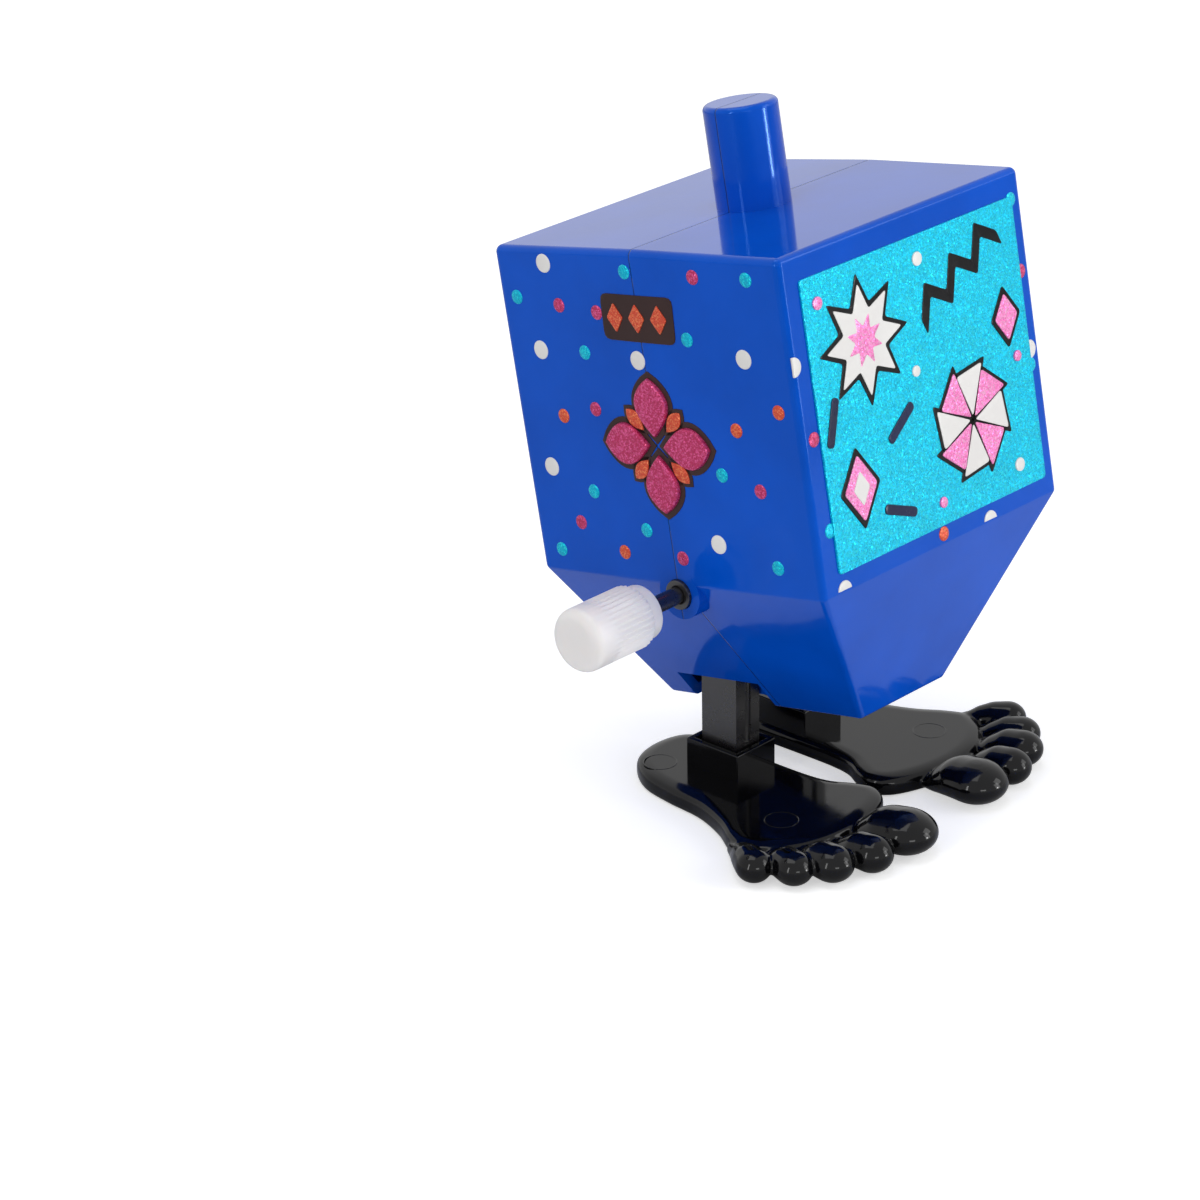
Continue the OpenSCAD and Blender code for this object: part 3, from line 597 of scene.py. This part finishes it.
big_star = soft(star(*STAR_AT, 6.0, 3.3, 8), 0.35)
small_star = soft(star(*STAR_AT, 2.9, 1.5, 8, 67.5), 0.25)
wave = soft(zigzag(7.6, -9.0, 24.0, 3, 5.0, 3.0, 1.9), 0.35)
pink_blades, white_blades = blades_from(20.0), blades_from(65.0)
gems = [soft(diamond(*GEM_AT, 2.6, 3.6), 0.35), soft(diamond(14.3, -15.4, 1.9, 2.6), 0.35)]
core = soft(diamond(*GEM_AT, 1.3, 1.9), 0.25)
bars = [soft(turned(BAR, *at), 0.5) for at in BARS_AT]
specks = [circle(*at, 20) for at in SPECKS]
backs = [grown(motif, 0.5) for motif in [big_star] + gems]
backs += [grown(blade, 0.4) for blade in pink_blades + white_blades]
for name, material, outlines, low, high, edge in (
        ("motif_outlines", "black", [wave] + backs, -0.05, 0.08, 0.05),
        ("motif_white", "white", [big_star] + white_blades + specks[:3], 0.0, 0.16, 0.07),
        ("motif_pink", "pink", gems + pink_blades + [small_star] + specks[3:], 0.0, 0.2, 0.08),
        ("motif_core", "white", [core], 0.0, 0.27, 0.06),
        ("motif_navy", "navy", bars, -0.05, 0.12, 0.06)):
    relief(name, material, "front", outlines, PANEL_H + low, PANEL_H + high, edge)

# ---------------------------------------------------------------------------
# Relief ornament and plaque on the knob's side
ORNAMENT = (-0.2, -21.0)
PLAQUE = [(-5.2, -4.8), (-4.9, -9.9), (5.2, -9.7), (5.0, -4.7)]


def petal(r0, r1, w, at, steps=14):
    side = [(r0 + (r1 - r0) * i / steps, w * math.sin(math.pi * (i / steps) ** 1.15) ** 0.8)
            for i in range(1, steps)]
    outline = [(r0, 0.0)] + [(x, -y) for x, y in side] + [(r1, 0.0)]
    return turned(outline + [(x, y) for x, y in reversed(side)], *ORNAMENT, at)


petals = [petal(1.0, 7.4, 2.3, 90.0 * i) for i in range(4)]
buds = [petal(2.3, 5.4, 0.85, 90.0 * i + 45.0, 10) for i in range(4)]
marks = [soft(diamond(0.1 + d, -7.25, 1.15, 1.6), 0.2) for d in (-3.1, 0.0, 3.1)]
backs = [grown(p, 0.62) for p in petals] + [grown(b, 0.4) for b in buds]
relief("ornament_outline", "brown", "near", backs + [soft(PLAQUE, 0.9)], BURIED, 0.1, 0.06)
relief("ornament_petals", "magenta", "near", petals, 0.0, 0.55, 0.3)
relief("ornament_buds", "orange", "near", buds + marks, 0.0, 0.22, 0.09)

# ---------------------------------------------------------------------------
# Winding knob: smooth rounded end, ribs that fade in, plain collar next to the body
KNOB_R, KNOB_LEN, KNOB_FROM = 3.5, 10.5, 25.8
KNOB_END_R = 1.17
RIBS, RIB_DEPTH, RIB_STEPS = 36, 0.23, 8
FADE_FROM, FADE_LEN = 2.2, 2.3  # where the ribs grow to their full depth


def knob_rows():
    """Rows of (distance from the free end, radius, share of the ribs' depth)."""
    rows = [(0.10, 0.6, 0.0), (0.04, 1.5, 0.0)]
    for i in range(9):
        a = math.radians(i * 11.25)
        rows.append((KNOB_END_R * (1 - math.cos(a)),
                     KNOB_R - KNOB_END_R + KNOB_END_R * math.sin(a), 0.0))
    for i in range(1, 11):
        share = i / 10
        rows.append((FADE_FROM + FADE_LEN * share, KNOB_R, share * share * (3 - 2 * share)))
    rows += [(6.0, KNOB_R, 1.0), (8.5, KNOB_R, 1.0), (8.68, KNOB_R - 0.05, 0.9),
             (8.78, KNOB_R - 0.16, 0.6), (8.82, KNOB_R - 0.34, 0.0), (8.84, 3.08, 0.0),
             (8.92, 3.01, 0.0), (10.2, 3.01, 0.0), (10.36, 2.96, 0.0), (10.46, 2.84, 0.0),
             (10.5, 2.68, 0.0), (10.5, 0.9, 0.0)]
    return rows


bm = bmesh.new()
rings = []
for reach, radius, share in knob_rows():
    ring = []
    for i in range(RIBS * RIB_STEPS):
        a = i * math.tau / (RIBS * RIB_STEPS)
        r = radius - RIB_DEPTH * share * (0.5 - 0.5 * math.cos(a * RIBS)) ** 0.75
        ring.append(bm.verts.new(body_point(-KNOB_FROM - KNOB_LEN + reach, r * math.cos(a),
                                            WIND_Z + r * math.sin(a))))
    rings.append(ring)
join_rings(bm, rings)
cap_ends(bm, rings[::-1])
knob = new_piece("ribbed_knob", bm, "knob", "winder")
dress(knob)
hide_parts("winding_knob")

# ---------------------------------------------------------------------------
# Feet: plate with a pillowed rim, five toes and a leg socket
FOOT_LEN, FOOT_W = 39.0, 22.5
# The plate's outline, outwards and forwards of the leg, in widths and lengths of the foot
OUTLINE = [(-0.173, -0.15), (-0.11, -0.235), (0.06, -0.262), (0.24, -0.235), (0.36, -0.15),
           (0.405, -0.04), (0.43, 0.09), (0.50, 0.20), (0.59, 0.285), (0.625, 0.352),
           (0.55, 0.43), (0.38, 0.49), (0.20, 0.512), (0.03, 0.508), (-0.13, 0.483),
           (-0.235, 0.448), (-0.28, 0.395), (-0.245, 0.335), (-0.19, 0.275), (-0.17, 0.19),
           (-0.168, 0.02)]
# How far the plate's side is drawn in at each height, in mm
PLATE_RINGS = ((0.45, 0.0), (0.12, 0.18), (0.0, 0.6), (0.0, 1.45), (0.12, 1.8), (0.38, 2.05),
               (0.85, 2.2), (1.5, 2.3))
# Toes, big toe first: outwards, forwards, half width, height, turn in degrees
TOES = [(0.022, 0.645, 0.165, 0.120, -4), (0.284, 0.652, 0.108, 0.105, 3),
        (0.48, 0.606, 0.110, 0.103, 9), (0.627, 0.54, 0.098, 0.095, 20),
        (0.729, 0.448, 0.092, 0.094, 30)]
TOE_LEN = 0.15 * FOOT_LEN
TOE_BALLS = 21
TOE_WIDTH = 0.97
# Shares of width, depth and height along a toe, from its tip at 0 to its root at 1
STATIONS = ((0.0, 1.0, 1.0, 1.0), (0.25, 0.98, 0.9, 0.95), (0.5, 0.92, 0.7, 0.74),
            (0.72, 0.85, 0.5, 0.50), (1.0, 0.72, 0.5, 0.32))
LITTLE_STATIONS = ((0.0, 1.0, 1.0, 1.0), (0.25, 0.92, 0.9, 0.96), (0.5, 0.80, 0.7, 0.82),
                   (0.72, 0.64, 0.5, 0.62), (1.0, 0.42, 0.5, 0.45))
VOXEL, QUICK_VOXEL = 0.16, 0.3
# The leg's socket: half sizes of its outside and mouth, each with its heights
SOCKET_OUT, SOCKET_MOUTH = (3.2, 3.75), (2.5, 3.05)
SOCKET_LEVELS = ((SOCKET_OUT, 1.2), (SOCKET_OUT, 5.3), (SOCKET_MOUTH, 5.3), (SOCKET_MOUTH, 3.3))
# Round marks that the ejector pins leave on the plate: radius and height of their section
MARKS_AT = ((7.1, -13.4), (5.2, 5.9))
MARK_SECTION = ((1.93, 2.2), (1.91, 2.315), (1.85, 2.33), (1.79, 2.315), (1.77, 2.2))


def smooth_loop(points, steps):
    """A closed curve through all points."""
    n, made = len(points), []
    for i in range(n):
        a, b, c, d = (Vector(points[k % n]) for k in (i - 1, i, i + 1, i + 2))
        for k in range(steps):
            u = k / steps
            made.append((2 * b + (c - a) * u + (2 * a - 5 * b + 4 * c - d) * u ** 2
                         + (3 * b - a - 3 * c + d) * u ** 3) / 2)
    return made


def unit_ball():
    bm = bmesh.new()
    bmesh.ops.create_uvsphere(bm, u_segments=32, v_segments=16, radius=1.0)
    bm.verts.index_update()
    found = [v.co.copy() for v in bm.verts], [[v.index for v in f.verts] for f in bm.faces]
    bm.free()
    return found


BALL_POINTS, BALL_FACES = unit_ball()


def add_ball(bm, centre, radii):
    made = [bm.verts.new([centre[k] + co[k] * radii[k] for k in range(3)]) for co in BALL_POINTS]
    for face in BALL_FACES:
        bm.faces.new([made[i] for i in face])


def shares_at(stations, t):
    """Shares of width, depth and height at a place along a toe."""
    i = max(n for n in range(len(stations) - 1) if stations[n][0] <= t)
    first, second = stations[i:i + 2]
    share = (t - first[0]) / (second[0] - first[0])
    return (first[n] + (second[n] - first[n]) * share for n in (1, 2, 3))


def foot_mesh():
    """A foot about its leg's middle, outwards along +X and toes along -Y, in mm."""
    bm = bmesh.new()
    outline = [(p.x * FOOT_W, -p.y * FOOT_LEN) for p in smooth_loop(OUTLINE, 6)]
    rings = [[bm.verts.new((p[0], p[1], h)) for p in loop_at(outline, d)] for d, h in PLATE_RINGS]
    join_rings(bm, rings)
    cap_ends(bm, rings)
    for out, forward, half, high, angle in TOES:
        a = math.radians(angle)
        stations = LITTLE_STATIONS if out == TOES[-1][0] else STATIONS
        for k in range(TOE_BALLS):
            t = k / (TOE_BALLS - 1)
            wide, deep, tall = shares_at(stations, t)
            h = high * FOOT_LEN / 2 * tall
            add_ball(bm, (out * FOOT_W - math.sin(a) * TOE_LEN * t,
                          -forward * FOOT_LEN + math.cos(a) * TOE_LEN * t, h),
                     (half * FOOT_W * wide * TOE_WIDTH, half * FOOT_W * deep, h))
    return bm


def make_foot(side, turn, body):
    """A foot with its leg socket and its marks; a turn of -1 mirrors it."""
    sole = next(m for m in frame["record"]["mounts"] if m["name"] == side + "_sole")
    base = Vector(sole["pos_m"])

    def place(x, y, z):
        return Vector((x * turn, y, z)) * MM + base

    bm = foot_mesh()
    for v in bm.verts:
        v.co = place(*v.co)
    if turn < 0:
        bmesh.ops.reverse_faces(bm, faces=bm.faces)
    foot = add_object("moulded_foot_" + side, mesh_from("foot", bm))
    foot.data.materials.append(MATERIALS["foot"])
    remesh = foot.modifiers.new("skin", "REMESH")
    remesh.mode = "VOXEL"
    remesh.voxel_size = VOXEL * MM
    remesh.use_smooth_shade = True
    soften = foot.modifiers.new("soften", "SMOOTH")
    soften.factor = 0.5
    soften.iterations = 10
    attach(foot, body)
    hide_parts("foot_" + side)

    bm = bmesh.new()
    rings = [[bm.verts.new(place(x, y, z)) for x, y in ((-hx, -hy), (hx, -hy), (hx, hy), (-hx, hy))]
             for (hx, hy), z in SOCKET_LEVELS]
    join_rings(bm, rings)
    cap_ends(bm, rings)
    socket = new_piece("leg_socket_" + side, bm, "foot", body)
    dress(socket, bevel=0.16, segments=3)
    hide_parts("foot_" + side)

    bm = bmesh.new()
    for x, y in MARKS_AT:
        rings = [[bm.verts.new(place(*p, z)) for p in circle(x, y, r, 48)] for r, z in MARK_SECTION]
        join_rings(bm, rings + rings[:1])
    new_piece("ejector_marks_" + side, bm, "foot", body)


make_foot("right", -1.0, "right_step")
make_foot("left", 1.0, "left_step")

# ---------------------------------------------------------------------------
# Floor: pale and plain, and brighter far from the part, so that it ends in white
FLOOR_HALF = 3.0
FLOOR_Z = -0.00002
floor_bm = bmesh.new()
bmesh.ops.create_grid(floor_bm, x_segments=8, y_segments=8, size=FLOOR_HALF)
floor = add_object("floor", mesh_from("floor", floor_bm))
floor.location.z = FLOOR_Z
pale = Shader("pale_floor")
pale.feed("Base Color", pale.mix(pale.noise(12.0, 3.0), rgba(0.80, 0.80, 0.80),
                                 rgba(0.83, 0.83, 0.83)))
pale.set(Roughness=0.7, Specular_IOR_Level=0.2)
away = pale.vector("LENGTH", pale.coords)
near_lift = pale.spread(away, 0.31, 0.52, 0.06, 0.30)
lift = pale.math("MAXIMUM", near_lift, pale.spread(away, 0.52, 0.90, 0.40, 0.80))
camera_ray = pale.node("ShaderNodeLightPath").outputs["Is Camera Ray"]
strength = pale.math("MULTIPLY", camera_ray, lift)
glow = pale.node("ShaderNodeEmission", {"Color": WHITE, "Strength": strength})
both = pale.node("ShaderNodeAddShader", {0: pale.bsdf.outputs[0], 1: glow.outputs[0]})
pale.tree.links.new(both.outputs[0], pale.out.inputs[0])
floor.data.materials.append(pale.mat)

# ---------------------------------------------------------------------------
# World: white where it is seen directly, mirrored or through a piece, and dimmer as light
world = bpy.data.worlds.new("studio")
bpy.context.scene.world = world
world.use_nodes = True
sky = Nodes(world.node_tree)
rays = sky.node("ShaderNodeLightPath").outputs
seen = rays["Is Camera Ray"]
for kind in ("Is Glossy Ray", "Is Transmission Ray"):
    seen = sky.math("MAXIMUM", seen, rays[kind])
light = sky.node("ShaderNodeBackground", {"Color": rgba(0.97, 0.98, 1.0), "Strength": 0.42})
backdrop = sky.node("ShaderNodeBackground", {"Color": WHITE, "Strength": 1.0})
both = sky.node("ShaderNodeMixShader", {0: seen, 1: light.outputs[0], 2: backdrop.outputs[0]})
sky.node("ShaderNodeOutputWorld", {0: both.outputs[0]})

# ---------------------------------------------------------------------------
# Studio lights: name, place, aim, size in metres, power in watts
AIM = (0.0, 0.0, 0.04)
LIGHTS = (
    ("key", (0.44, -0.48, 0.40), AIM, (0.30, 0.30), 0.8),
    ("right_box", (0.15, -0.29, 0.10), (0.0, 0.0, 0.07), (0.10, 0.18), 0.22),
    ("front_box", (-0.33, -0.62, 0.17), AIM, (0.22, 0.11), 0.42),
    ("low_spot", (0.30, -0.62, 0.07), AIM, (0.07, 0.07), 0.4),
    ("top", (-0.05, 0.10, 0.62), AIM, (0.40, 0.40), 1.1),
    ("fill", (-0.58, -0.06, 0.24), AIM, (0.07, 0.40), 0.7),
)
for name, at, aim, size, power in LIGHTS:
    data = bpy.data.lights.new(name, "AREA")
    data.shape = "RECTANGLE"
    data.size, data.size_y = size
    data.energy = power
    lamp = add_object(name, data)
    lamp.location = at
    lamp.rotation_euler = (Vector(aim) - Vector(at)).to_track_quat("-Z", "Y").to_euler()
    lamp.visible_camera = False

# ---------------------------------------------------------------------------
# Camera of the photograph, placed from the body's origin, in mm and degrees
CAMERA_AT = (-313.060, -270.127, 139.018)
CAMERA_TURN = (65.8859, 0.9978, -47.2759)
camera_data = bpy.data.cameras.new("camera")
camera_data.lens = 122.475
camera_data.sensor_width = 36.0
camera_data.clip_start = 0.01
camera_data.clip_end = 20.0
camera = add_object("camera", camera_data)
camera.location = Vector(CAMERA_AT) * MM + ORIGIN * MM
camera.rotation_euler = Euler([math.radians(a) for a in CAMERA_TURN])
bpy.context.scene.camera = camera

bpy.context.scene.view_settings.view_transform = "Standard"
